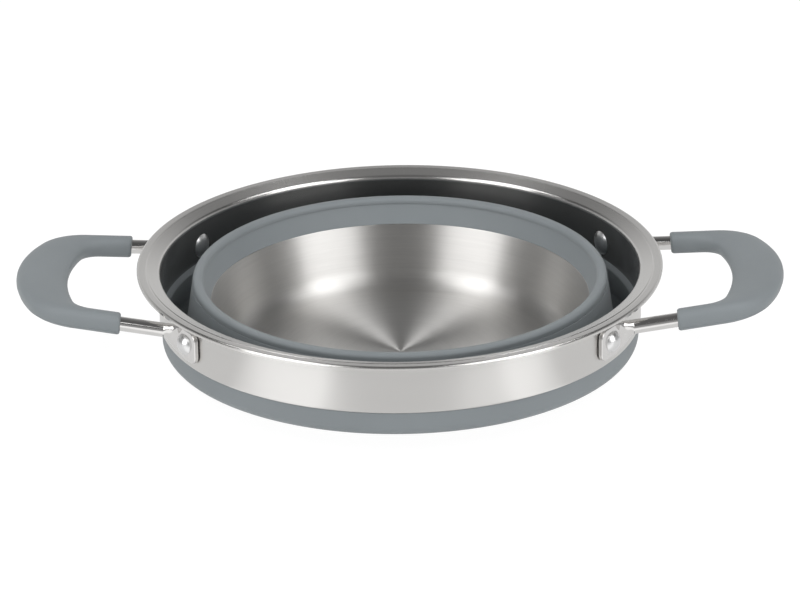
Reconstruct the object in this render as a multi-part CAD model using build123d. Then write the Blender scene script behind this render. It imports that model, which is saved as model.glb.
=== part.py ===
from build123d import *
import os
from math import asin, atan2, cos, degrees, radians, sin, sqrt

# Collapsible camping pot, folded flat, with its two side handles along X
# The origin is on the pot's axis at the underside of the base, in millimetres

# Capsule base: aluminium spreader closed in by a steel cap
spreader_radius = 63.0
spreader_thickness = 3.2
cap_sheet = 0.6
cap_bend_radius = 0.9

# Steel pan
pan_floor_margin = 9.0
pan_flare = 7.4
pan_depth = 25.8
pan_floor_bend_radius = 10.0
pan_sheet = 0.7
pan_flange_reach = 2.4
pan_flange_bend_radius = 0.5

# Silicone wall, folded down once between the ring and the pan
silicone_wall = 2.2
collar_wall = 2.8
collar_cover = 1.7
collar_grip_depth = 7.5
collar_web_inset = 0.15
crest_outset = 5.1
crest_rise = 8.45
crest_bead_radius = 2.3
fold_drop = 28.3
fold_lean = 5.5
fold_bend_radius = 5.3
fold_gap = 0.3
fold_top_inset = 1.35
trough_width = 5.6
trough_corner_radius = 4.5
skirt_rise = 10.8
skirt_step = 0.9
skirt_grip_height = 3.2
skirt_grip_bevel = 1.2

# Steel ring that holds the lip and both handles
ring_sheet = 0.8
ring_flange_reach = 1.2
ring_flange_bend_radius = 0.3
band_height = 22.9
crease_bend_radius = 1.6
lip_flare = 9.8
lip_rise = 1.75
lip_roll_depth = 1.6
lip_roll_radius = 0.95

# Handle rods, bent from round bar with their ends pressed flat
rod_diameter = 6.0
handle_slope = 5.5
leg_toe_in = 8.7
rod_tip_distance = 57.3
rod_bow_radius = 75.0
rod_corner_radius = 17.0
tab_thickness = 2.0
tab_height = 13.6
tab_overhang = 8.6
tab_reach = 6.5
tab_corner_radius = 3.8
tab_edge_radius = 0.5
neck_start = 4.6
neck_bend = 10.1
neck_run = 3.8
neck_lift = 0.6
neck_rise = 2.1
neck_shoulder_half_height = 6.0
neck_shoulder_half_thickness = 1.2
neck_waist_half_height = 4.4
neck_waist_half_thickness = 2.15

# Soft grips moulded round the rods
grip_thickness = 9.0
grip_leg_half_width = 3.95
grip_palm_half_width = 10.75
grip_start = 23.2
grip_outer_bow_radius = 67.4
grip_outer_corner_radius = 20.4
grip_inner_bow_radius = 88.5
grip_inner_corner_radius = 13.6
grip_edge_radius = 3.0
grip_rod_clearance = 0.05

# Rivets through the tabs and the ring
rivet_angle = 31.4
rivet_rise = 10.7
rivet_shank_radius = 2.45
rivet_hole_clearance = 0.05
rivet_outer_head_radius = 4.6
rivet_outer_head_height = 2.8
rivet_inner_head_radius = 5.2
rivet_inner_head_height = 1.9

# Heights that follow, from the base up to the lip
spreader_top = cap_sheet + spreader_thickness
pan_floor_height = spreader_top + pan_sheet
pan_rim_height = pan_floor_height + pan_depth
crest_height = pan_rim_height + crest_rise
trough_height = crest_height - fold_drop
ring_foot_height = trough_height + skirt_rise
crease_height = ring_foot_height + band_height
lip_height = crease_height + lip_rise
rivet_height = ring_foot_height + rivet_rise

# Radii that follow, from the base out to the lip
pan_floor_edge_radius = spreader_radius + pan_floor_margin
pan_rim_radius = pan_floor_edge_radius + pan_flare
crest_radius = pan_rim_radius + crest_outset
fold_foot_radius = crest_radius + fold_lean
skirt_end_radius = fold_foot_radius + trough_width
skirt_radius = skirt_end_radius + trough_corner_radius
ring_outer_radius = skirt_radius + skirt_step
ring_bore_radius = ring_outer_radius - ring_sheet
lip_radius = ring_bore_radius + lip_flare
tab_middle_radius = ring_outer_radius + tab_thickness / 2


def revolved(face):
    """A solid turned round the pot's axis from a face drawn with X as radius and Y as height."""
    return revolve(Plane.XZ * face, Axis.Z)


def sheet_section(points, bend_radii, thickness):
    """The section of pressed sheet: its upper or inner line, with the metal on the line's right."""
    line = FilletPolyline(*points, radius=bend_radii)
    return make_face(offset(line, thickness, side=Side.RIGHT, closed=True))


def closed_face(*lines):
    """The flat face inside lines that meet end to end."""
    return make_face([edge for line in lines for edge in line.edges()])


def touching_point(start, centre, radius, side):
    """Where a straight line from start touches a circle, on its left with side 1 or right with side -1."""
    to_centre = Vector(*centre) - Vector(*start)
    turn = side * degrees(asin(radius / to_centre.length))
    reach = sqrt(to_centre.length**2 - radius**2)
    touch = Vector(*start) + to_centre.normalized().rotate(Axis.Z, turn) * reach
    return (touch.X, touch.Y)


# Steel ring
ring_section = sheet_section(
    [
        (ring_bore_radius - ring_flange_reach, ring_foot_height + ring_sheet),
        (ring_bore_radius, ring_foot_height + ring_sheet),
        (ring_bore_radius, crease_height),
        (lip_radius, lip_height),
        (lip_radius, lip_height - lip_roll_depth),
    ],
    [ring_flange_bend_radius, crease_bend_radius, lip_roll_radius],
    ring_sheet,
)

rivet_hole_radius = rivet_shank_radius + rivet_hole_clearance
rivet_angles = {
    "right_back": rivet_angle,
    "left_back": 180 - rivet_angle,
    "left_front": 180 + rivet_angle,
    "right_front": -rivet_angle,
}


def rivet_hole(angle):
    """A bar along one rivet's axis, long enough to cut the ring and the tab."""
    bar_end = ring_outer_radius + 2 * tab_thickness
    bar_start = ring_bore_radius - 2 * ring_sheet
    bar = Cylinder(rivet_hole_radius, bar_end - bar_start, align=(Align.CENTER, Align.CENTER, Align.MIN))
    return Pos(0, 0, rivet_height) * Rot(0, 0, angle) * Pos(bar_start, 0, 0) * Rot(0, 90, 0) * bar


ring = revolved(ring_section) - [rivet_hole(angle) for angle in rivet_angles.values()]


# Silicone skirt, moulded onto the ring's foot and turned under to the trough
skirt_inner_radius = skirt_radius - silicone_wall
skirt_top = ring_foot_height + ring_sheet + skirt_grip_height
trough_centre_height = trough_height + trough_corner_radius
skirt_outline = [
    Line((skirt_inner_radius, skirt_top - skirt_grip_bevel), (ring_bore_radius, skirt_top)),
    Line((ring_bore_radius, skirt_top), (ring_bore_radius, ring_foot_height)),
    Line((ring_bore_radius, ring_foot_height), (skirt_radius, ring_foot_height)),
    Line((skirt_radius, ring_foot_height), (skirt_radius, trough_centre_height)),
    CenterArc((skirt_end_radius, trough_centre_height), trough_corner_radius, 0, -90),
    Line((skirt_end_radius, trough_height), (skirt_end_radius, trough_height + silicone_wall)),
    CenterArc((skirt_end_radius, trough_centre_height), trough_corner_radius - silicone_wall, -90, 90),
    Line((skirt_inner_radius, trough_centre_height), (skirt_inner_radius, skirt_top - skirt_grip_bevel)),
]
skirt = revolved(closed_face(*skirt_outline) - ring_section)


# Steel pan
pan_section = sheet_section(
    [
        (0, pan_floor_height),
        (pan_floor_edge_radius, pan_floor_height),
        (pan_rim_radius, pan_rim_height),
        (pan_rim_radius + pan_flange_reach, pan_rim_height),
    ],
    [pan_floor_bend_radius, pan_flange_bend_radius],
    pan_sheet,
)
pan = revolved(pan_section)


# Silicone collar, moulded round the pan's flange and rising to the crest bead
wall_lean = (pan_rim_radius - pan_floor_edge_radius) / (pan_rim_height - pan_floor_height)
collar_foot_height = pan_rim_height - collar_grip_depth
collar_foot_radius = pan_rim_radius - collar_grip_depth * wall_lean
crest_centre = (crest_radius, crest_height)
collar_shoulder = (pan_rim_radius + pan_flange_reach + collar_cover, pan_rim_height)
pan_rim = (pan_rim_radius, pan_rim_height)
web_touch_radius = crest_bead_radius - collar_web_inset
middle_of_sheet = pan_sheet / 2
collar_web = Polygon(
    (pan_rim_radius + middle_of_sheet * (1 - wall_lean), pan_rim_height - middle_of_sheet),
    (collar_foot_radius + middle_of_sheet, collar_foot_height),
    (collar_foot_radius + pan_sheet + collar_wall, collar_foot_height),
    collar_shoulder,
    touching_point(collar_shoulder, crest_centre, web_touch_radius, -1),
    crest_centre,
    touching_point(pan_rim, crest_centre, web_touch_radius, 1),
    pan_rim,
    align=None,
)
collar_section = collar_web + Pos(*crest_centre) * Circle(crest_bead_radius) - pan_section
collar = revolved(collar_section)


# Silicone fold, rising from the trough to the crest bead
fold_line = FilletPolyline(
    (skirt_end_radius - fold_gap, trough_height + silicone_wall / 2),
    (fold_foot_radius, trough_height + silicone_wall / 2),
    (crest_radius + fold_top_inset, crest_height),
    radius=fold_bend_radius,
)
fold_inner = offset(fold_line, silicone_wall / 2, side=Side.LEFT, closed=True)
fold_outer = offset(fold_line, silicone_wall / 2, side=Side.RIGHT, closed=True)
fold = revolved(make_face(fold_inner) + make_face(fold_outer) - collar_section)


# Capsule base: aluminium spreader closed in by a steel cap
spreader_section = closed_face(
    FilletPolyline(
        (0, cap_sheet),
        (spreader_radius, cap_sheet),
        (spreader_radius, spreader_top),
        radius=cap_bend_radius,
    ),
    Polyline((spreader_radius, spreader_top), (0, spreader_top), (0, cap_sheet)),
)
spreader = revolved(spreader_section)
cap = revolved(
    sheet_section(
        [(0, cap_sheet), (spreader_radius, cap_sheet), (spreader_radius, spreader_top)],
        [cap_bend_radius],
        cap_sheet,
    )
)


# Handle frame: each rod leaves the tab's line at the neck bend and runs in one sloping plane
tab_across = Vector(sin(radians(rivet_angle)), -cos(radians(rivet_angle)), 0)
tab_outward = Vector(cos(radians(rivet_angle)), sin(radians(rivet_angle)), 0)
tab_centre = tab_outward * tab_middle_radius + Vector(0, 0, rivet_height)
tab_plane = Plane(origin=tab_centre, x_dir=tab_across, z_dir=tab_outward)
neck_corner = tab_centre + tab_across * neck_bend + tab_outward * neck_lift + Vector(0, 0, neck_rise)
slope = radians(handle_slope)
handle_plane = Plane(
    origin=(neck_corner.X, 0, neck_corner.Z),
    x_dir=(cos(slope), 0, sin(slope)),
    z_dir=(-sin(slope), 0, cos(slope)),
)
toe_in = radians(leg_toe_in)
leg_direction = Vector(cos(toe_in), -sin(toe_in), 0)


def leg_spread(distance):
    """Half the distance between the two legs' centres, at a distance out along the handle plane."""
    return neck_corner.Y - distance * sin(toe_in) / cos(toe_in)


def handle_outline(start, side_offset, tip_offset, bow_radius, corner_radius):
    """The outline of a rounded handle: two legs that toe in, closed by a bowed cross bar."""
    tip = rod_tip_distance + tip_offset
    outset = side_offset / cos(toe_in)
    near = leg_spread(start) + outset
    far = leg_spread(tip) + outset
    legs = Polygon((start, -near), (tip, -far), (tip, far), (start, near), align=None)
    outline = legs & Pos(tip - bow_radius, 0) * Circle(bow_radius)
    corners = [v for v in outline.vertices() if start < v.X - corner_radius / 2 and abs(v.Y) > far / 2]
    return fillet(corners, corner_radius)


# One half of a rod: flattened tab, neck and leg
rod_start = neck_run * cos(toe_in)
rod_outline = handle_outline(rod_start, 0, 0, rod_bow_radius, rod_corner_radius)
rod_path = Wire(rod_outline.edges().sort_by(Axis.X)[1:])


def rod_bar(radius):
    """A round bar along the rod's centre line, drawn in the handle plane."""
    start_plane = Plane(origin=rod_path @ 0, z_dir=rod_path % 0)
    return handle_plane * sweep(start_plane * Circle(radius), rod_path)


tab = RectangleRounded(tab_overhang + tab_reach, tab_height, tab_corner_radius)
tab = Pos((tab_reach - tab_overhang) / 2, 0) * tab
tab = extrude(tab, tab_thickness / 2, both=True)
tab = tab_plane * fillet(tab.edges().filter_by(GeomType.LINE, reverse=True), tab_edge_radius)

neck_end = handle_plane.from_local_coords(Vector(0, neck_corner.Y, 0) + leg_direction * neck_run)
leg_world = neck_end - neck_corner
neck_foot = neck_corner - tab_across * neck_run - Vector(0, 0, neck_rise)
neck_line = Bezier(neck_foot, neck_corner, neck_end)
neck_half_thickness = tab_thickness / 2 - tab_edge_radius / 2
neck_half_height = tab_height / 2 - tab_edge_radius
neck_sections = [
    (tab_centre + tab_across * neck_start, tab_across, neck_half_height, neck_half_thickness),
    (neck_line @ 0, tab_across, neck_shoulder_half_height, neck_shoulder_half_thickness),
    (neck_line @ 0.5, neck_line % 0.5, neck_waist_half_height, neck_waist_half_thickness),
    (neck_end, leg_world, rod_diameter / 2, rod_diameter / 2),
]


def neck_section(centre, along, half_height, half_thickness):
    """One oval across the neck, upright, facing along the neck."""
    upright = Vector(0, 0, 1)
    up_in_section = upright - along.normalized() * upright.dot(along.normalized())
    return Plane(origin=centre, x_dir=up_in_section, z_dir=along) * Ellipse(half_height, half_thickness)


neck = loft([neck_section(*values) for values in neck_sections])
tab_and_neck = tab + neck - rivet_hole(rivet_angle)
rod_right = rod_bar(rod_diameter / 2) + tab_and_neck + mirror(tab_and_neck, Plane.XZ)
rod_left = mirror(rod_right, Plane.YZ)


# Soft grips
grip_outer = handle_outline(
    grip_start,
    grip_leg_half_width,
    grip_palm_half_width,
    grip_outer_bow_radius,
    grip_outer_corner_radius,
)
grip_inner = handle_outline(
    grip_start,
    -grip_leg_half_width,
    -grip_palm_half_width,
    grip_inner_bow_radius,
    grip_inner_corner_radius,
)
grip_block = extrude(grip_outer - grip_inner, grip_thickness / 2, both=True)
grip_rims = grip_block.edges().group_by(Axis.Z)
grip_block = fillet(grip_rims[0] + grip_rims[-1], grip_edge_radius)
grip_right = handle_plane * grip_block - rod_bar(rod_diameter / 2 + grip_rod_clearance)
grip_left = mirror(grip_right, Plane.YZ)


# Rivets, with a domed head inside the ring and one on the tab
inner_seat = sqrt(ring_bore_radius**2 - rivet_inner_head_radius**2)
outer_seat = ring_outer_radius + tab_thickness


def dome(seat, head_radius, height):
    """The arc of a rivet head, from its rim on the seat to its top on the axis."""
    dome_radius = (head_radius**2 + height**2) / (2 * abs(height))
    middle_turn = atan2(head_radius, dome_radius - abs(height)) / 2
    middle = (
        seat + height - (dome_radius - dome_radius * cos(middle_turn)) * height / abs(height),
        dome_radius * sin(middle_turn),
    )
    return ThreePointArc((seat, head_radius), middle, (seat + height, 0))


rivet_outline = [
    dome(inner_seat, rivet_inner_head_radius, -rivet_inner_head_height),
    Polyline(
        (inner_seat, rivet_inner_head_radius),
        (inner_seat, rivet_shank_radius),
        (outer_seat, rivet_shank_radius),
        (outer_seat, rivet_outer_head_radius),
    ),
    dome(outer_seat, rivet_outer_head_radius, rivet_outer_head_height),
    Line((outer_seat + rivet_outer_head_height, 0), (inner_seat - rivet_inner_head_height, 0)),
]
rivet = revolve(closed_face(*rivet_outline), Axis.X)


# One file for each piece
pieces = {
    "steel_ring": ring,
    "silicone_skirt": skirt,
    "silicone_fold": fold,
    "silicone_collar": collar,
    "base_pan": pan,
    "heat_spreader": spreader,
    "base_cap": cap,
    "handle_rod_right": rod_right,
    "handle_rod_left": rod_left,
    "grip_right": grip_right,
    "grip_left": grip_left,
}
for corner, angle in rivet_angles.items():
    pieces["rivet_" + corner] = Pos(0, 0, rivet_height) * Rot(0, 0, angle) * rivet

os.makedirs("parts", exist_ok=True)
for name, piece in pieces.items():
    export_step(piece, f"parts/{name}.step")
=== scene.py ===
import math

import bpy
from mathutils import Matrix, Vector


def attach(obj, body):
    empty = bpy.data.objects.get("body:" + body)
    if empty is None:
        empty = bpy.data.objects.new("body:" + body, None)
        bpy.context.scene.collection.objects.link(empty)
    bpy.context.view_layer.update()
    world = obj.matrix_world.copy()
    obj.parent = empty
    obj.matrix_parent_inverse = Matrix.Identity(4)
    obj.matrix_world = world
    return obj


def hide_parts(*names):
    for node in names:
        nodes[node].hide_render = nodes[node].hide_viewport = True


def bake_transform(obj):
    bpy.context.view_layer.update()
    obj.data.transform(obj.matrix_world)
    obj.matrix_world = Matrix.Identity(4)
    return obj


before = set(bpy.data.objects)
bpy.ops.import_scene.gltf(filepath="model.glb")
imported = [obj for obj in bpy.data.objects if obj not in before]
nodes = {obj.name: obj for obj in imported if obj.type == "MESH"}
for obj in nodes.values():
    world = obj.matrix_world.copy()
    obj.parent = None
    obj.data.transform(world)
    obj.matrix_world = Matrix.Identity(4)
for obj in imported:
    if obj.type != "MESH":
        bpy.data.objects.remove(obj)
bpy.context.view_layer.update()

MM = 0.001

# Camera: the photograph's frame and viewing angle
PHOTO_WIDTH = 800
SENSOR_WIDTH = 36.0
FOCAL_PIXELS = 5240.7
CAMERA_DISTANCE = 2.2
CAMERA_AZIMUTH = math.radians(-0.96)
CAMERA_ELEVATION = math.radians(23.1)
CAMERA_ROLL = math.radians(-0.78)
CAMERA_TARGET = Vector((-0.00005, 0, 0.0282))
NEAREST_SEEN = 0.01

# Sizes of the pieces, in millimetres, from the base up
PAN_SHEET = 0.7
PAN_FLOOR_HEIGHT = 3.8 + PAN_SHEET
PAN_RIM_HEIGHT = PAN_FLOOR_HEIGHT + 25.8
CREST_HEIGHT = PAN_RIM_HEIGHT + 8.45
TROUGH_HEIGHT = CREST_HEIGHT - 28.3
RING_FOOT_HEIGHT = TROUGH_HEIGHT + 10.8
CREASE_HEIGHT = RING_FOOT_HEIGHT + 22.9
LIP_HEIGHT = CREASE_HEIGHT + 1.75
RIVET_HEIGHT = RING_FOOT_HEIGHT + 10.7

# Radii, from the axis out
PAN_FLOOR_EDGE = 72.0
PAN_RIM_RADIUS = PAN_FLOOR_EDGE + 7.4
CREST_RADIUS = PAN_RIM_RADIUS + 5.1
FOLD_FOOT_RADIUS = CREST_RADIUS + 5.5
TROUGH_CORNER = 4.5
TROUGH_END_RADIUS = FOLD_FOOT_RADIUS + 5.6
SKIRT_OUTER = TROUGH_END_RADIUS + TROUGH_CORNER
RING_SHEET = 0.8
RING_OUTER = SKIRT_OUTER + 0.9
RING_BORE = RING_OUTER - RING_SHEET
LIP_RADIUS = RING_BORE + 9.8

# The ring: its lip, its crease and its foot flange
LIP_ROLL_DEPTH = 1.6
LIP_ROLL_RADIUS = 0.95
LIP_MARGIN_RADIUS = 106.4
LIP_MARGIN_RISE = 0.2
LIP_GROOVE_WIDTH = 0.6
LIP_GROOVE_DEPTH = 0.14
CREASE_BEND = 1.6
RING_FLANGE = 1.2
RING_FLANGE_BEND = 0.3

# The pan
PAN_FLOOR_BEND = 10.0
PAN_FLANGE = 2.4
PAN_FLANGE_BEND = 0.5

# The silicone wall: skirt, fold, and collar with the crest bead
SILICONE_WALL = 2.2
CORNER_SLACK = 0.01
SKIRT_GRIP_HEIGHT = 3.2
SKIRT_GRIP_BEVEL = 1.2
SKIRT_TOP_BEND = 0.8
SKIRT_STEP_BEND = 0.15
FOLD_BEND = 5.3
FOLD_TOP_INSET = 1.35
CREST_BEAD = 2.3
CREST_INNER_DROP = 0.1
CREST_INNER_EDGE = 1.9
CREST_OUTER_EDGE = 1.7
COLLAR_WALL = 2.8
COLLAR_COVER = 1.7
COLLAR_GRIP = 7.5

# Shares of a size: where the collar meets the bead's radius and the pan's sheet
BEAD_STEP = 0.8
COLLAR_FOOT_TUCK = 0.8
COLLAR_RIM_TUCK = 0.5

# Handles, in the sloping plane that the rods run in
RIVET_ANGLE = math.radians(31.4)
TAB_THICKNESS = 2.0
NECK_BEND = 10.1
NECK_LIFT = 0.6
NECK_RISE = 2.1
HANDLE_SLOPE = math.radians(5.5)
LEG_TOE_IN = math.radians(8.7)
ROD_TIP = 57.3
ROD_RADIUS = 3.0
GRIP_THICKNESS = 9.0
GRIP_LEG_HALF = 3.95
GRIP_PALM_HALF = 10.75
GRIP_START = 23.2
GRIP_OUTER_BOW = 67.4
GRIP_OUTER_CORNER = 20.4
GRIP_INNER_BOW = 88.5
GRIP_INNER_CORNER = 13.6
GRIP_SHARPNESS = 2.5
GRIP_END_TURNS = (0.35, 0.7, 1.0)
GRIP_END_SHRINK = 0.22
GRIP_END_PUSH = 1.1
GRIP_BORE_CLEARANCE = 0.06
GRIP_BORE_DEPTH = 2.0
PARTING_ANGLE = math.radians(333.5)
PARTING_HALF_ANGLE = math.radians(1.5)
PARTING_RIDGE = 0.22

# Fineness of the meshes
LATHE_STEPS = 360
BEND_STEPS = 10
SHEET_BEND_STEPS = 12
SKIRT_BEND_STEPS = 14
FOLD_BEND_STEPS = 16
FOLD_RISE_STEPS = 24
LEG_STEPS = 14
CORNER_STEPS = 12
BOW_STEPS = 22
SECTION_STEPS = 40
LATHE_SHARP_DEGREES = 40
CAD_SHARP_DEGREES = 30

# Finishes: darkest and lightest share of the colour, and strength and depth of the bumps
STEEL_COLOUR = (0.66, 0.65, 0.635)
BRUSHED_SHADES = (0.86, 1.08)
BRUSHED_BUMP = (0.12, 0.00005)
WIPED_SHADES = (0.92, 1.04)
WIPED_BUMP = (0.04, 0.0001)
WIPE_SCALE = 320.0
SILICONE_SHADES = (0.93, 1.06)
SILICONE_BUMP = (0.1, 0.00008)
SILICONE_ROUGHNESS = (0.5, 0.64)
CLOUD_SCALE = 35.0
GRAIN_SCALE = 1800.0
RING_ANISOTROPY = 0.9
RING_STREAKS_PER_METRE = 2600.0
RING_STREAK_LENGTH = 2.2
# Painted shade: the share of the steel colour kept on the ring's inner wall, which darkens it
RING_WALL_PAINTED_SHADE = 0.5
QUARTER_TURN = 0.25
SMALLEST_RADIUS = 1e-5
WHITE = (1.0, 1.0, 1.0, 1.0)

# Floor: how much it glows to each kind of ray, and painted reflections for the outer band: sectors, by
# angle from the front, that glow brighter only to mirrored rays
FLOOR_HALF_WIDTH = 3.0
FLOOR_COLOUR = (0.86, 0.86, 0.86, 1.0)
FLOOR_ROUGHNESS = 0.9
FLOOR_GLOW_DIFFUSE = 0.25
FLOOR_GLOW_SEEN = 0.85
FLOOR_GLOW_STRENGTH = 1.12
GLOSSY_FLOOR = 0.91
PAINTED_REFLECTION_GAIN = 0.42
PAINTED_REFLECTION_SECTORS = ((-54.0, -23.0), (35.0, 53.0))
PAINTED_REFLECTION_BLUR = math.radians(2.5)

# Studio: pairs of where a change starts and ends, and of the level at each
HORIZON_LEVEL = 0.74
RISE_RANGE = (0.3, 0.62)
SIDE_RANGE = (0.15, 0.5)
OVERHEAD_LEVELS = (0.27, 0.07)
DEPTH_RANGE = (0.0, 0.75)
DEPTH_LEVELS = (0.5, 1.0)
SOFTBOX_DISTANCE = 1.4


# Mesh helpers
def new_object(name, mesh):
    piece = bpy.data.objects.new(name, mesh)
    bpy.context.scene.collection.objects.link(piece)
    return piece


def mesh_object(name, vertices, faces):
    """A smooth-shaded mesh object from vertices in millimetres."""
    mesh = bpy.data.meshes.new(name)
    mesh.from_pydata([[c * MM for c in v] for v in vertices], [], faces)
    mesh.validate()
    mesh.update()
    for face in mesh.polygons:
        face.use_smooth = True
    return new_object(name, mesh)


def rounded(corners, steps=BEND_STEPS):
    """Points along a line whose corners are given as (radius, height, bend radius)."""
    points = []
    count = len(corners)
    for i, (r, z, bend) in enumerate(corners):
        here = Vector((r, z))
        if not bend:
            points.append(here)
            continue
        before = (Vector(corners[i - 1][:2]) - here).normalized()
        after = (Vector(corners[(i + 1) % count][:2]) - here).normalized()
        half = before.angle(after) / 2
        centre = here + (before + after).normalized() * bend / math.sin(half)
        start = here + before * bend / math.tan(half) - centre
        end = here + after * bend / math.tan(half) - centre
        turn = start.angle_signed(end)
        for k in range(steps + 1):
            points.append(centre + Matrix.Rotation(-turn * k / steps, 2) @ start)
    return points


def right_of(way):
    return Vector((way.y, -way.x))


def held(points, longest=0.6):
    """The same line with a point close to each end of every long stretch, so that flats stay flat."""
    line = [points[0]]
    for a, b in zip(points, points[1:]):
        length = (b - a).length
        if length > 3 * longest:
            line += [a.lerp(b, longest / length), a.lerp(b, 1 - longest / length)]
        line.append(b)
    return line


def sheet(corners, thickness):
    """The outline of pressed sheet: a line through the corners, and one a thickness to its right."""
    places = [Vector(corner[:2]) for corner in corners]
    ways = [(b - a).normalized() for a, b in zip(places, places[1:])]
    far_corners = []
    for place, before, after, corner in zip(
        places, [ways[0], *ways], [*ways, ways[-1]], corners
    ):
        across = (right_of(before) + right_of(after)) / (1 + before.dot(after))
        turns_left = right_of(before).dot(after) < 0
        bend = corner[2]
        if bend:
            bend += thickness if turns_left else -thickness
        far_corners.append((*(place + across * thickness), bend))
    near_side = held(rounded(corners, SHEET_BEND_STEPS))
    far_side = held(rounded(far_corners, SHEET_BEND_STEPS))
    return near_side + far_side[::-1]


def banded(line, thickness):
    """A closed outline of even thickness about an open line."""
    left, right = [], []
    for i, point in enumerate(line):
        ahead = (line[min(i + 1, len(line) - 1)] - line[max(i - 1, 0)]).normalized()
        across = Vector((-ahead.y, ahead.x)) * thickness / 2
        left.append(point + across)
        right.append(point - across)
    return left + right[::-1]


def lathe(name, outline, steps=LATHE_STEPS):
    """A ring turned round the Z axis from a closed outline of (radius, height) points."""
    vertices = []
    rows = []
    for r, z in outline:
        first = len(vertices)
        turns = steps if r > 0 else 1
        for s in range(turns):
            angle = 2 * math.pi * s / steps
            vertices.append((r * math.cos(angle), r * math.sin(angle), z))
        rows.append([first + s % turns for s in range(steps)])
    faces = []
    for near, far in zip(rows, rows[1:] + rows[:1]):
        for s in range(steps):
            n = (s + 1) % steps
            corners = dict.fromkeys((near[s], far[s], far[n], near[n]))
            if len(corners) > 2:
                faces.append(tuple(corners))
    skin = mesh_object(name, vertices, faces)
    skin.data.set_sharp_from_angle(angle=math.radians(LATHE_SHARP_DEGREES))
    return skin


def smooth_by_angle(piece, degrees):
    """Smooth shading that keeps real edges sharp."""
    mesh = piece.data
    for face in mesh.polygons:
        face.use_smooth = True
    mesh.set_sharp_from_angle(angle=math.radians(degrees))


# Node helpers
class Graph:
    """Short calls that add nodes to a node tree, set their sockets and link them."""

    def __init__(self, tree):
        self.tree = tree

    def set(self, node, key, value):
        """Sets or links a socket by name, or by number as input0, input1 and so on."""
        socket = node.inputs[int(key[5:]) if key.startswith("input") else key]
        if isinstance(value, bpy.types.NodeSocket):
            self.tree.links.new(value, socket)
        else:
            socket.default_value = value

    def node(self, kind, settings=None, **inputs):
        made = self.tree.nodes.new("ShaderNode" + kind)
        for key, value in (settings or {}).items():
            setattr(made, key, value)
        for key, value in inputs.items():
            self.set(made, key.replace("_", " "), value)
        return made

    def math(self, operation, a, b=0.0):
        return self.node("Math", {"operation": operation}, input0=a, input1=b).outputs[0]

    def map_range(self, value, levels, limits=(0.0, 1.0), interpolation="LINEAR"):
        """Levels that a value takes at the start and end of its limits, and between them."""
        made = self.node("MapRange", {"interpolation_type": interpolation}, Value=value)
        made.inputs["From Min"].default_value, made.inputs["From Max"].default_value = limits
        made.inputs["To Min"].default_value, made.inputs["To Max"].default_value = levels
        return made.outputs[0]

    def mix_numbers(self, share, first, second):
        return self.node("Mix", Factor=share, A=first, B=second).outputs[0]

    def mix_colours(self, share, first, second):
        colours = {"input6": first, "input7": second}
        return self.node("Mix", {"data_type": "RGBA"}, Factor=share, **colours).outputs[2]

    def mix_shaders(self, share, first, second):
        return self.node("MixShader", input0=share, input1=first, input2=second).outputs[0]


class Shader(Graph):
    """A node material with one Principled shader, whose constants are given by name."""

    def __init__(self, name, **constants):
        self.material = bpy.data.materials.new(name)
        self.material.use_nodes = True
        super().__init__(self.material.node_tree)
        self.bsdf = self.tree.nodes["Principled BSDF"]
        for socket, value in constants.items():
            self.set(self.bsdf, socket.replace("_", " "), value)

    def bump(self, height, strength, distance):
        made = self.node("Bump", Height=height, Strength=strength, Distance=distance)
        self.set(self.bsdf, "Normal", made.outputs[0])


def shades(colour, darkest, lightest):
    """The darkest and lightest form of a colour, with alpha."""
    return [tuple(min(1.0, c * share) for c in colour) + (1.0,) for share in (darkest, lightest)]


def around_axis(shader):
    """Sockets for the radius from the Z axis, the height, and the cosine and sine round it."""
    place = shader.node("TexCoord").outputs["Object"]
    x, y, z = shader.node("SeparateXYZ", Vector=place).outputs
    squares = shader.math("ADD", shader.math("MULTIPLY", x, x), shader.math("MULTIPLY", y, y))
    radius = shader.math("SQRT", squares)
    safe = shader.math("MAXIMUM", radius, SMALLEST_RADIUS)
    return radius, z, shader.math("DIVIDE", x, safe), shader.math("DIVIDE", y, safe)


def ringed(shader, anisotropy):
    """Spreads highlights across fine scratches that run in rings round the Z axis."""
    tangent = shader.node("Tangent", {"direction_type": "RADIAL", "axis": "Z"})
    shader.set(shader.bsdf, "Tangent", tangent.outputs[0])
    shader.set(shader.bsdf, "Anisotropic", anisotropy)
    shader.set(shader.bsdf, "Anisotropic Rotation", QUARTER_TURN)


# Finishes
def brushed_steel(name, roughness, anisotropy, streaks_per_metre, streak_length, colour=STEEL_COLOUR):
    """Metal brushed in rings round the pot's axis."""
    shader = Shader(name, Metallic=1.0)
    ringed(shader, anisotropy)
    radius, height, cosine, sine = around_axis(shader)
    lines = shader.node(
        "CombineXYZ",
        X=shader.math("MULTIPLY", radius, streaks_per_metre),
        Y=shader.math("MULTIPLY", height, streaks_per_metre),
        Z=shader.math("MULTIPLY", cosine, streak_length),
    )
    streaks = shader.node(
        "TexNoise",
        {"noise_dimensions": "4D"},
        Vector=lines.outputs[0],
        W=shader.math("MULTIPLY", sine, streak_length),
        Scale=1.0,
        Detail=6.0,
        Roughness=0.7,
    )
    grain = streaks.outputs["Fac"]
    dark, light = shades(colour, *BRUSHED_SHADES)
    shader.set(shader.bsdf, "Base Color", shader.mix_colours(grain, dark, light))
    shader.set(shader.bsdf, "Roughness", shader.map_range(grain, roughness))
    shader.bump(grain, *BRUSHED_BUMP)
    return shader.material


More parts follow.
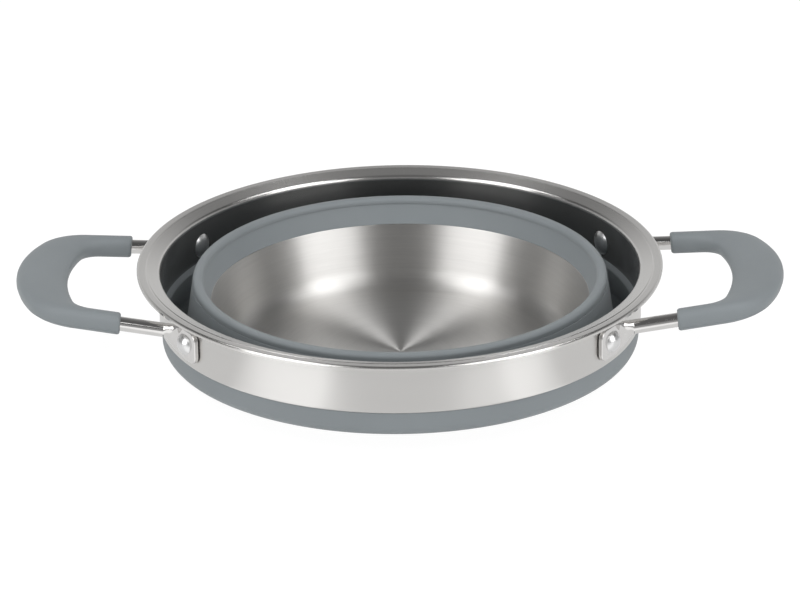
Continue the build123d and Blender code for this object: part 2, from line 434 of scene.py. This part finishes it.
def polished_steel(name, roughness, colour):
    """Bright stainless steel with faint wipe marks."""
    shader = Shader(name, Metallic=1.0)
    place = shader.node("TexCoord").outputs["Object"]
    marks = shader.node("TexNoise", Vector=place, Scale=WIPE_SCALE, Detail=3.0, Roughness=0.55)
    grain = marks.outputs["Fac"]
    dark, light = shades(colour, *WIPED_SHADES)
    shader.set(shader.bsdf, "Base Color", shader.mix_colours(grain, dark, light))
    shader.set(shader.bsdf, "Roughness", shader.map_range(grain, roughness))
    shader.bump(grain, *WIPED_BUMP)
    return shader.material


def ring_steel(name, inside_roughness, band_roughness):
    """Stainless steel, bright inside and on the lip, and satin on the outer band, with painted shade
    that darkens the colour of the inner wall below the crease.
    """
    shader = Shader(name, Metallic=1.0)
    ringed(shader, RING_ANISOTROPY)
    radius, height, cosine, sine = around_axis(shader)
    outside = shader.math("GREATER_THAN", radius, (RING_OUTER - RING_SHEET / 2) * MM)
    below = shader.math("LESS_THAN", height, (CREASE_HEIGHT - CREASE_BEND) * MM)
    band = shader.math("MULTIPLY", outside, below)
    wall = shader.math("MULTIPLY", below, shader.math("SUBTRACT", 1.0, outside))
    lines = shader.node(
        "CombineXYZ",
        X=shader.math("MULTIPLY", height, RING_STREAKS_PER_METRE),
        Y=shader.math("MULTIPLY", cosine, RING_STREAK_LENGTH),
        Z=shader.math("MULTIPLY", sine, RING_STREAK_LENGTH),
    )
    streaks = shader.node("TexNoise", Vector=lines.outputs[0], Scale=1.0, Detail=4.0, Roughness=0.6)
    grain = streaks.outputs["Fac"]
    inside = shader.map_range(grain, inside_roughness)
    satin = shader.map_range(grain, band_roughness)
    change = shader.math("MULTIPLY", band, shader.math("SUBTRACT", satin, inside))
    shader.set(shader.bsdf, "Roughness", shader.math("ADD", inside, change))
    # Painted shade: the inner wall below the crease takes a darkened copy of the steel colour
    dark, light = shades(STEEL_COLOUR, RING_WALL_PAINTED_SHADE, 1.0)
    shader.set(shader.bsdf, "Base Color", shader.mix_colours(wall, light, dark))
    return shader.material


def silicone(name, colour):
    """Matte moulded silicone with a fine grain and a slight bloom."""
    shader = Shader(name, Specular_IOR_Level=0.38, Sheen_Weight=0.12, Sheen_Roughness=0.5)
    place = shader.node("TexCoord").outputs["Object"]
    cloud = shader.node("TexNoise", Vector=place, Scale=CLOUD_SCALE, Detail=2.0).outputs["Fac"]
    grain = shader.node("TexNoise", Vector=place, Scale=GRAIN_SCALE, Detail=3.0).outputs["Fac"]
    dark, light = shades(colour, *SILICONE_SHADES)
    shader.set(shader.bsdf, "Base Color", shader.mix_colours(cloud, dark, light))
    shader.set(shader.bsdf, "Roughness", shader.map_range(grain, SILICONE_ROUGHNESS))
    shader.bump(grain, *SILICONE_BUMP)
    return shader.material


def use_material(piece, material):
    piece.data.materials.clear()
    piece.data.materials.append(material)


steel_ring = ring_steel("ring_steel", inside_roughness=(0.22, 0.28), band_roughness=(0.26, 0.36))
steel_pan = brushed_steel(
    "pan_steel", roughness=(0.32, 0.48), anisotropy=0.95, streaks_per_metre=900.0, streak_length=2.6
)
steel_cap = brushed_steel(
    "cap_steel", roughness=(0.24, 0.36), anisotropy=0.6, streaks_per_metre=1500.0, streak_length=2.0
)
aluminium = brushed_steel(
    "aluminium",
    roughness=(0.35, 0.5),
    anisotropy=0.2,
    streaks_per_metre=900.0,
    streak_length=2.0,
    colour=(0.78, 0.78, 0.79),
)
steel_polished = polished_steel("polished_steel", roughness=(0.05, 0.1), colour=(0.68, 0.67, 0.66))
steel_rivet = polished_steel("rivet_steel", roughness=(0.26, 0.34), colour=(0.72, 0.72, 0.72))
grey_silicone = silicone("grey_silicone", colour=(0.230, 0.254, 0.267))


# Steel: the ring and the pan are turned again finely, and the rest keeps the CAD shapes
for name, node in nodes.items():
    if name.startswith("handle_rod"):
        use_material(node, steel_polished)
    elif name.startswith("rivet"):
        use_material(node, steel_rivet)
use_material(nodes["heat_spreader"], aluminium)
use_material(nodes["base_cap"], steel_cap)

lip_margin_height = LIP_HEIGHT - LIP_MARGIN_RISE
groove_start = LIP_MARGIN_RADIUS - LIP_GROOVE_WIDTH
groove_middle = LIP_MARGIN_RADIUS - LIP_GROOVE_WIDTH / 2
ring_skin = lathe(
    "steel_ring_skin",
    sheet(
        [
            (RING_BORE - RING_FLANGE, RING_FOOT_HEIGHT + RING_SHEET, 0.0),
            (RING_BORE, RING_FOOT_HEIGHT + RING_SHEET, RING_FLANGE_BEND),
            (RING_BORE, CREASE_HEIGHT, CREASE_BEND),
            (groove_start, lip_margin_height, 0.0),
            (groove_middle, lip_margin_height - LIP_GROOVE_DEPTH, 0.0),
            (LIP_MARGIN_RADIUS, lip_margin_height, 0.0),
            (LIP_RADIUS, LIP_HEIGHT, LIP_ROLL_RADIUS),
            (LIP_RADIUS, LIP_HEIGHT - LIP_ROLL_DEPTH, 0.0),
        ],
        RING_SHEET,
    ),
)
use_material(ring_skin, steel_ring)
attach(ring_skin, "ring")
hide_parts("steel_ring")

pan_skin = lathe(
    "base_pan_skin",
    sheet(
        [
            (0.0, PAN_FLOOR_HEIGHT, 0.0),
            (PAN_FLOOR_EDGE, PAN_FLOOR_HEIGHT, PAN_FLOOR_BEND),
            (PAN_RIM_RADIUS, PAN_RIM_HEIGHT, PAN_FLANGE_BEND),
            (PAN_RIM_RADIUS + PAN_FLANGE, PAN_RIM_HEIGHT, 0.0),
        ],
        PAN_SHEET,
    ),
)
use_material(pan_skin, steel_pan)
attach(pan_skin, "base")
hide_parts("base_pan")


# Silicone wall: skirt on the ring, fold in the middle, collar on the pan
skirt_inner = SKIRT_OUTER - SILICONE_WALL
skirt_top = RING_FOOT_HEIGHT + RING_SHEET + SKIRT_GRIP_HEIGHT
trough_top = TROUGH_HEIGHT + SILICONE_WALL
skirt = lathe(
    "silicone_skirt_skin",
    rounded(
        [
            (skirt_inner, skirt_top - SKIRT_GRIP_BEVEL, SKIRT_TOP_BEND),
            (RING_BORE, skirt_top, 0.0),
            (RING_BORE, RING_FOOT_HEIGHT + RING_SHEET, 0.0),
            (RING_BORE - RING_FLANGE, RING_FOOT_HEIGHT + RING_SHEET, 0.0),
            (RING_BORE - RING_FLANGE, RING_FOOT_HEIGHT, 0.0),
            (SKIRT_OUTER, RING_FOOT_HEIGHT, SKIRT_STEP_BEND),
            (SKIRT_OUTER, TROUGH_HEIGHT, TROUGH_CORNER - CORNER_SLACK),
            (TROUGH_END_RADIUS, TROUGH_HEIGHT, 0.0),
            (TROUGH_END_RADIUS, trough_top, 0.0),
            (skirt_inner, trough_top, TROUGH_CORNER - SILICONE_WALL - CORNER_SLACK),
        ],
        SKIRT_BEND_STEPS,
    ),
)
use_material(skirt, grey_silicone)
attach(skirt, "ring")
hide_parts("silicone_skirt")

fold_middle_height = TROUGH_HEIGHT + SILICONE_WALL / 2
fold_top = Vector((CREST_RADIUS + FOLD_TOP_INSET, CREST_HEIGHT))
fold_bends = rounded(
    [
        (TROUGH_END_RADIUS, fold_middle_height, 0.0),
        (FOLD_FOOT_RADIUS, fold_middle_height, FOLD_BEND),
        (*fold_top, 0.0),
    ],
    FOLD_BEND_STEPS,
)
rise_start = fold_bends[-2]
rise = [rise_start.lerp(fold_top, k / FOLD_RISE_STEPS) for k in range(1, FOLD_RISE_STEPS)]
fold_line = fold_bends[:-1] + rise
fold = lathe("silicone_fold_skin", banded(fold_line, SILICONE_WALL))
use_material(fold, grey_silicone)
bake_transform(fold)
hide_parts("silicone_fold")

wall_lean = (PAN_RIM_RADIUS - PAN_FLOOR_EDGE) / (PAN_RIM_HEIGHT - PAN_FLOOR_HEIGHT)
collar_foot_height = PAN_RIM_HEIGHT - COLLAR_GRIP
collar_foot = PAN_RIM_RADIUS - COLLAR_GRIP * wall_lean
rim_tuck = PAN_SHEET * COLLAR_RIM_TUCK
crest_outline = rounded(
    [
        (CREST_RADIUS - CREST_BEAD, CREST_HEIGHT - CREST_INNER_DROP, 0.0),
        (CREST_RADIUS - CREST_BEAD, CREST_HEIGHT + CREST_BEAD, CREST_INNER_EDGE),
        (CREST_RADIUS + CREST_BEAD, CREST_HEIGHT + CREST_BEAD, CREST_OUTER_EDGE),
        (CREST_RADIUS + CREST_BEAD, CREST_HEIGHT - CREST_BEAD / 2, 0.0),
    ]
)
collar_outline = [
    (PAN_RIM_RADIUS, PAN_RIM_HEIGHT),
    (CREST_RADIUS - BEAD_STEP * CREST_BEAD, CREST_HEIGHT),
    *crest_outline,
    (PAN_RIM_RADIUS + PAN_FLANGE + COLLAR_COVER, PAN_RIM_HEIGHT),
    (collar_foot + PAN_SHEET + COLLAR_WALL, collar_foot_height),
    (collar_foot + PAN_SHEET * COLLAR_FOOT_TUCK, collar_foot_height),
    (PAN_RIM_RADIUS + rim_tuck, PAN_RIM_HEIGHT - rim_tuck),
]
collar = lathe("silicone_collar_skin", collar_outline)
use_material(collar, grey_silicone)
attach(collar, "base")
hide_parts("silicone_collar")


# Grips: moulded loops with a parting line low on the outer side
tab_across = Vector((math.sin(RIVET_ANGLE), -math.cos(RIVET_ANGLE)))
tab_outward = Vector((math.cos(RIVET_ANGLE), math.sin(RIVET_ANGLE)))
neck_corner = tab_outward * (RING_OUTER + TAB_THICKNESS / 2 + NECK_LIFT) + tab_across * NECK_BEND
leg_along = Vector((math.cos(LEG_TOE_IN), -math.sin(LEG_TOE_IN)))
leg_inward = Vector((-math.sin(LEG_TOE_IN), -math.cos(LEG_TOE_IN)))
mirrored = Matrix(((1, 0), (0, -1)))


def arc(centre, radius, start, end, steps):
    """Points from one angle towards another, without the last."""
    angles = [start + (end - start) * k / steps for k in range(steps)]
    return [centre + radius * Vector((math.cos(angle), math.sin(angle))) for angle in angles]


def handle_outline(side, tip_offset, bow_radius, corner_radius):
    """A rounded outline in the handle plane: leg, corner arc and bow arc, and the same mirrored."""
    leg_offset = neck_corner.y - GRIP_START * math.tan(LEG_TOE_IN) + side / math.cos(LEG_TOE_IN)
    start = Vector((GRIP_START, leg_offset))
    bow_centre = Vector((ROD_TIP + tip_offset - bow_radius, 0))
    offset = start + leg_inward * corner_radius - bow_centre
    reach = bow_radius - corner_radius
    along = -offset.dot(leg_along)
    along += math.sqrt(offset.dot(leg_along) ** 2 - offset.length_squared + reach**2)
    corner_centre = start + leg_inward * corner_radius + leg_along * along
    leg_end = corner_centre - leg_inward * corner_radius
    outward = (corner_centre - bow_centre).normalized()
    leg_turn = math.atan2(-leg_inward.y, -leg_inward.x)
    bow_turn = math.atan2(outward.y, outward.x)
    half = [start.lerp(leg_end, k / LEG_STEPS) for k in range(LEG_STEPS)]
    half += arc(corner_centre, corner_radius, leg_turn, bow_turn, CORNER_STEPS)
    half += arc(bow_centre, bow_radius, bow_turn, 0.0, BOW_STEPS)
    tip = bow_centre + Vector((bow_radius, 0))
    return half + [tip] + [mirrored @ point for point in half[::-1]]


def section_angles():
    """Even angles round a section, with three more at the parting line."""
    even = [2 * math.pi * k / SECTION_STEPS for k in range(SECTION_STEPS)]
    parting = [PARTING_ANGLE + shift for shift in (-PARTING_HALF_ANGLE, 0.0, PARTING_HALF_ANGLE)]
    return sorted(even + parting)


def grip_section(outer, inner, half_thickness, parting=0.0):
    """A flattened oval from the outer to the inner outline point, with a fine parting ridge."""
    middle = (outer + inner) / 2
    half = (outer - inner) / 2
    power = 2 / GRIP_SHARPNESS
    points = []
    for angle in section_angles():
        c, s = math.cos(angle), math.sin(angle)
        proud = parting / half.length if angle == PARTING_ANGLE else 0.0
        place = middle + half * (math.copysign(abs(c) ** power, c) + proud)
        points.append((place.x, place.y, half_thickness * math.copysign(abs(s) ** power, s)))
    return points


def grip_end(a, b, outward):
    """Rounded end of a leg, from the grip out: shrinking rings, then the rod's bore."""
    centre = (a + b) / 2
    rings = []
    for turn in GRIP_END_TURNS:
        angle = turn * math.pi / 2
        shrink = 1 - GRIP_END_SHRINK * (1 - math.cos(angle))
        push = outward * GRIP_END_PUSH * math.sin(angle)
        half = (a - centre) * shrink
        ring = grip_section(centre + half, centre - half, GRIP_THICKNESS / 2 * shrink)
        rings.append([(x + push.x, y + push.y, z) for x, y, z in ring])
    hole = ROD_RADIUS + GRIP_BORE_CLEARANCE
    across = (a - b).normalized() * hole
    for depth in (GRIP_END_PUSH, -GRIP_BORE_DEPTH):
        middle = centre + outward * depth
        ring = []
        for angle in section_angles():
            place = middle + across * math.cos(angle)
            ring.append((place.x, place.y, hole * math.sin(angle)))
        rings.append(ring)
    return rings


def make_grip(name, side):
    """A grip as rings of points along the handle, set on the slope of the handle plane."""
    outer = handle_outline(GRIP_LEG_HALF, GRIP_PALM_HALF, GRIP_OUTER_BOW, GRIP_OUTER_CORNER)
    inner = handle_outline(-GRIP_LEG_HALF, -GRIP_PALM_HALF, GRIP_INNER_BOW, GRIP_INNER_CORNER)
    rings = grip_end(outer[0], inner[0], -leg_along)[::-1]
    for a, b in zip(outer, inner):
        rings.append(grip_section(a, b, GRIP_THICKNESS / 2, PARTING_RIDGE))
    rings += grip_end(outer[-1], inner[-1], mirrored @ -leg_along)
    vertices = []
    for ring in rings:
        for x, y, z in ring:
            far = neck_corner.x + x * math.cos(HANDLE_SLOPE) - z * math.sin(HANDLE_SLOPE)
            rise = x * math.sin(HANDLE_SLOPE) + z * math.cos(HANDLE_SLOPE)
            vertices.append((side * far, y, RIVET_HEIGHT + NECK_RISE + rise))
    steps = len(rings[0])
    faces = []
    for r in range(len(rings) - 1):
        for k in range(steps):
            m = (k + 1) % steps
            quad = (r * steps + k, r * steps + m, (r + 1) * steps + m, (r + 1) * steps + k)
            faces.append(quad if side > 0 else quad[::-1])
    grip = mesh_object(name, vertices, faces)
    use_material(grip, grey_silicone)
    return grip


for side, word in ((1, "right"), (-1, "left")):
    grip = make_grip("grip_skin_" + word, side)
    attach(grip, "ring")
    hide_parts("grip_" + word)

for node in nodes.values():
    if not node.hide_render:
        smooth_by_angle(node, CAD_SHARP_DEGREES)


# Stage: a pale floor that reads as white, and soft light
def make_floor():
    """A floor that glows to the camera and to the steel, with painted reflections: brighter patches
    round the front that glow only to mirrored rays.
    """
    half = FLOOR_HALF_WIDTH
    corners = [(-half, -half, 0), (half, -half, 0), (half, half, 0), (-half, half, 0)]
    mesh = bpy.data.meshes.new("floor")
    mesh.from_pydata(corners, [], [(0, 1, 2, 3)])
    floor = new_object("floor", mesh)
    shader = Shader("pale_floor", Base_Color=FLOOR_COLOUR, Roughness=FLOOR_ROUGHNESS)
    paths = shader.node("LightPath")
    mirrored_ray = paths.outputs["Is Glossy Ray"]
    seen = shader.math("MAXIMUM", paths.outputs["Is Camera Ray"], mirrored_ray)
    share = shader.map_range(seen, (FLOOR_GLOW_DIFFUSE, FLOOR_GLOW_SEEN))
    place = shader.node("NewGeometry").outputs["Position"]
    x, y, _ = shader.node("SeparateXYZ", Vector=place).outputs
    turn = shader.math("ARCTAN2", x, shader.math("MULTIPLY", y, -1.0))
    level = GLOSSY_FLOOR
    # Painted reflection: these sectors glow brighter to glossy rays only, so the steel shows bright
    # patches
    for start, end in PAINTED_REFLECTION_SECTORS:
        middle = math.radians(start + end) / 2
        half_angle = math.radians(end - start) / 2
        off = shader.math("ABSOLUTE", shader.math("SUBTRACT", turn, middle))
        edge = (half_angle + PAINTED_REFLECTION_BLUR, half_angle - PAINTED_REFLECTION_BLUR)
        painted_reflection = shader.map_range(off, (0.0, PAINTED_REFLECTION_GAIN), edge, "SMOOTHSTEP")
        level = shader.math("ADD", painted_reflection, level)
    strength = shader.mix_numbers(mirrored_ray, FLOOR_GLOW_STRENGTH, level)
    glow = shader.node("Emission", Strength=strength).outputs[0]
    surface = shader.mix_shaders(share, shader.bsdf.outputs[0], glow)
    shader.set(shader.tree.nodes["Material Output"], "Surface", surface)
    use_material(floor, shader.material)


def make_world():
    """White to the camera, and to everything else a studio that dims overhead and in front."""
    world = bpy.data.worlds.new("studio")
    world.use_nodes = True
    world.node_tree.nodes.clear()
    graph = Graph(world.node_tree)
    place = graph.node("TexCoord").outputs["Generated"]
    x, y, z = graph.node("SeparateXYZ", Vector=place).outputs
    rise = graph.map_range(z, (0.0, 1.0), RISE_RANGE)
    overhead = graph.map_range(graph.math("ABSOLUTE", x), OVERHEAD_LEVELS, SIDE_RANGE)
    depth = graph.map_range(y, DEPTH_LEVELS, DEPTH_RANGE)
    level = graph.math("MULTIPLY", graph.mix_numbers(rise, HORIZON_LEVEL, overhead), depth)
    dim = graph.node("Background", Color=WHITE, Strength=level)
    white = graph.node("Background", Color=WHITE)
    seen = graph.node("LightPath").outputs["Is Camera Ray"]
    surface = graph.mix_shaders(seen, dim.outputs[0], white.outputs[0])
    graph.node("OutputWorld", Surface=surface)
    bpy.context.scene.world = world


def softbox(name, azimuth, elevation, width, height, radiance):
    """A soft area light aimed at the pot. Azimuth 0 is on the camera's side, positive to the right."""
    turn, lift = math.radians(azimuth), math.radians(elevation)
    sideways, ahead = math.sin(turn) * math.cos(lift), -math.cos(turn) * math.cos(lift)
    direction = Vector((sideways, ahead, math.sin(lift)))
    data = bpy.data.lights.new(name, "AREA")
    data.shape = "RECTANGLE"
    data.size = width
    data.size_y = height
    data.energy = radiance * math.pi * width * height
    light = new_object(name, data)
    light.location = Vector((0, 0, LIP_HEIGHT * MM / 2)) + direction * SOFTBOX_DISTANCE
    light.rotation_euler = (-direction).to_track_quat("-Z", "Y").to_euler()


def make_camera():
    """The camera of the photograph."""
    data = bpy.data.cameras.new("camera")
    data.sensor_fit = "HORIZONTAL"
    data.sensor_width = SENSOR_WIDTH
    data.lens = FOCAL_PIXELS * SENSOR_WIDTH / PHOTO_WIDTH
    data.clip_start = NEAREST_SEEN
    camera = new_object("camera", data)
    ahead = Vector((math.sin(CAMERA_AZIMUTH), math.cos(CAMERA_AZIMUTH), 0))
    forward = ahead * math.cos(CAMERA_ELEVATION) - Vector((0, 0, math.sin(CAMERA_ELEVATION)))
    level_right = Vector((math.cos(CAMERA_AZIMUTH), -math.sin(CAMERA_AZIMUTH), 0))
    level_up = level_right.cross(forward)
    right = level_right * math.cos(CAMERA_ROLL) + level_up * math.sin(CAMERA_ROLL)
    up = right.cross(forward)
    turn = Matrix((right, up, -forward)).transposed().to_4x4()
    camera.matrix_world = Matrix.Translation(CAMERA_TARGET - forward * CAMERA_DISTANCE) @ turn
    bpy.context.scene.camera = camera


make_floor()
make_world()
make_camera()
for hand, turn in (("left", -1), ("right", 1)):
    softbox("softbox_front_" + hand, turn * 48, elevation=29, width=1.0, height=1.1, radiance=2.4)
    softbox("softbox_high_" + hand, turn * 88, elevation=60, width=0.8, height=0.55, radiance=3.2)
bpy.context.scene.view_settings.view_transform = "Standard"
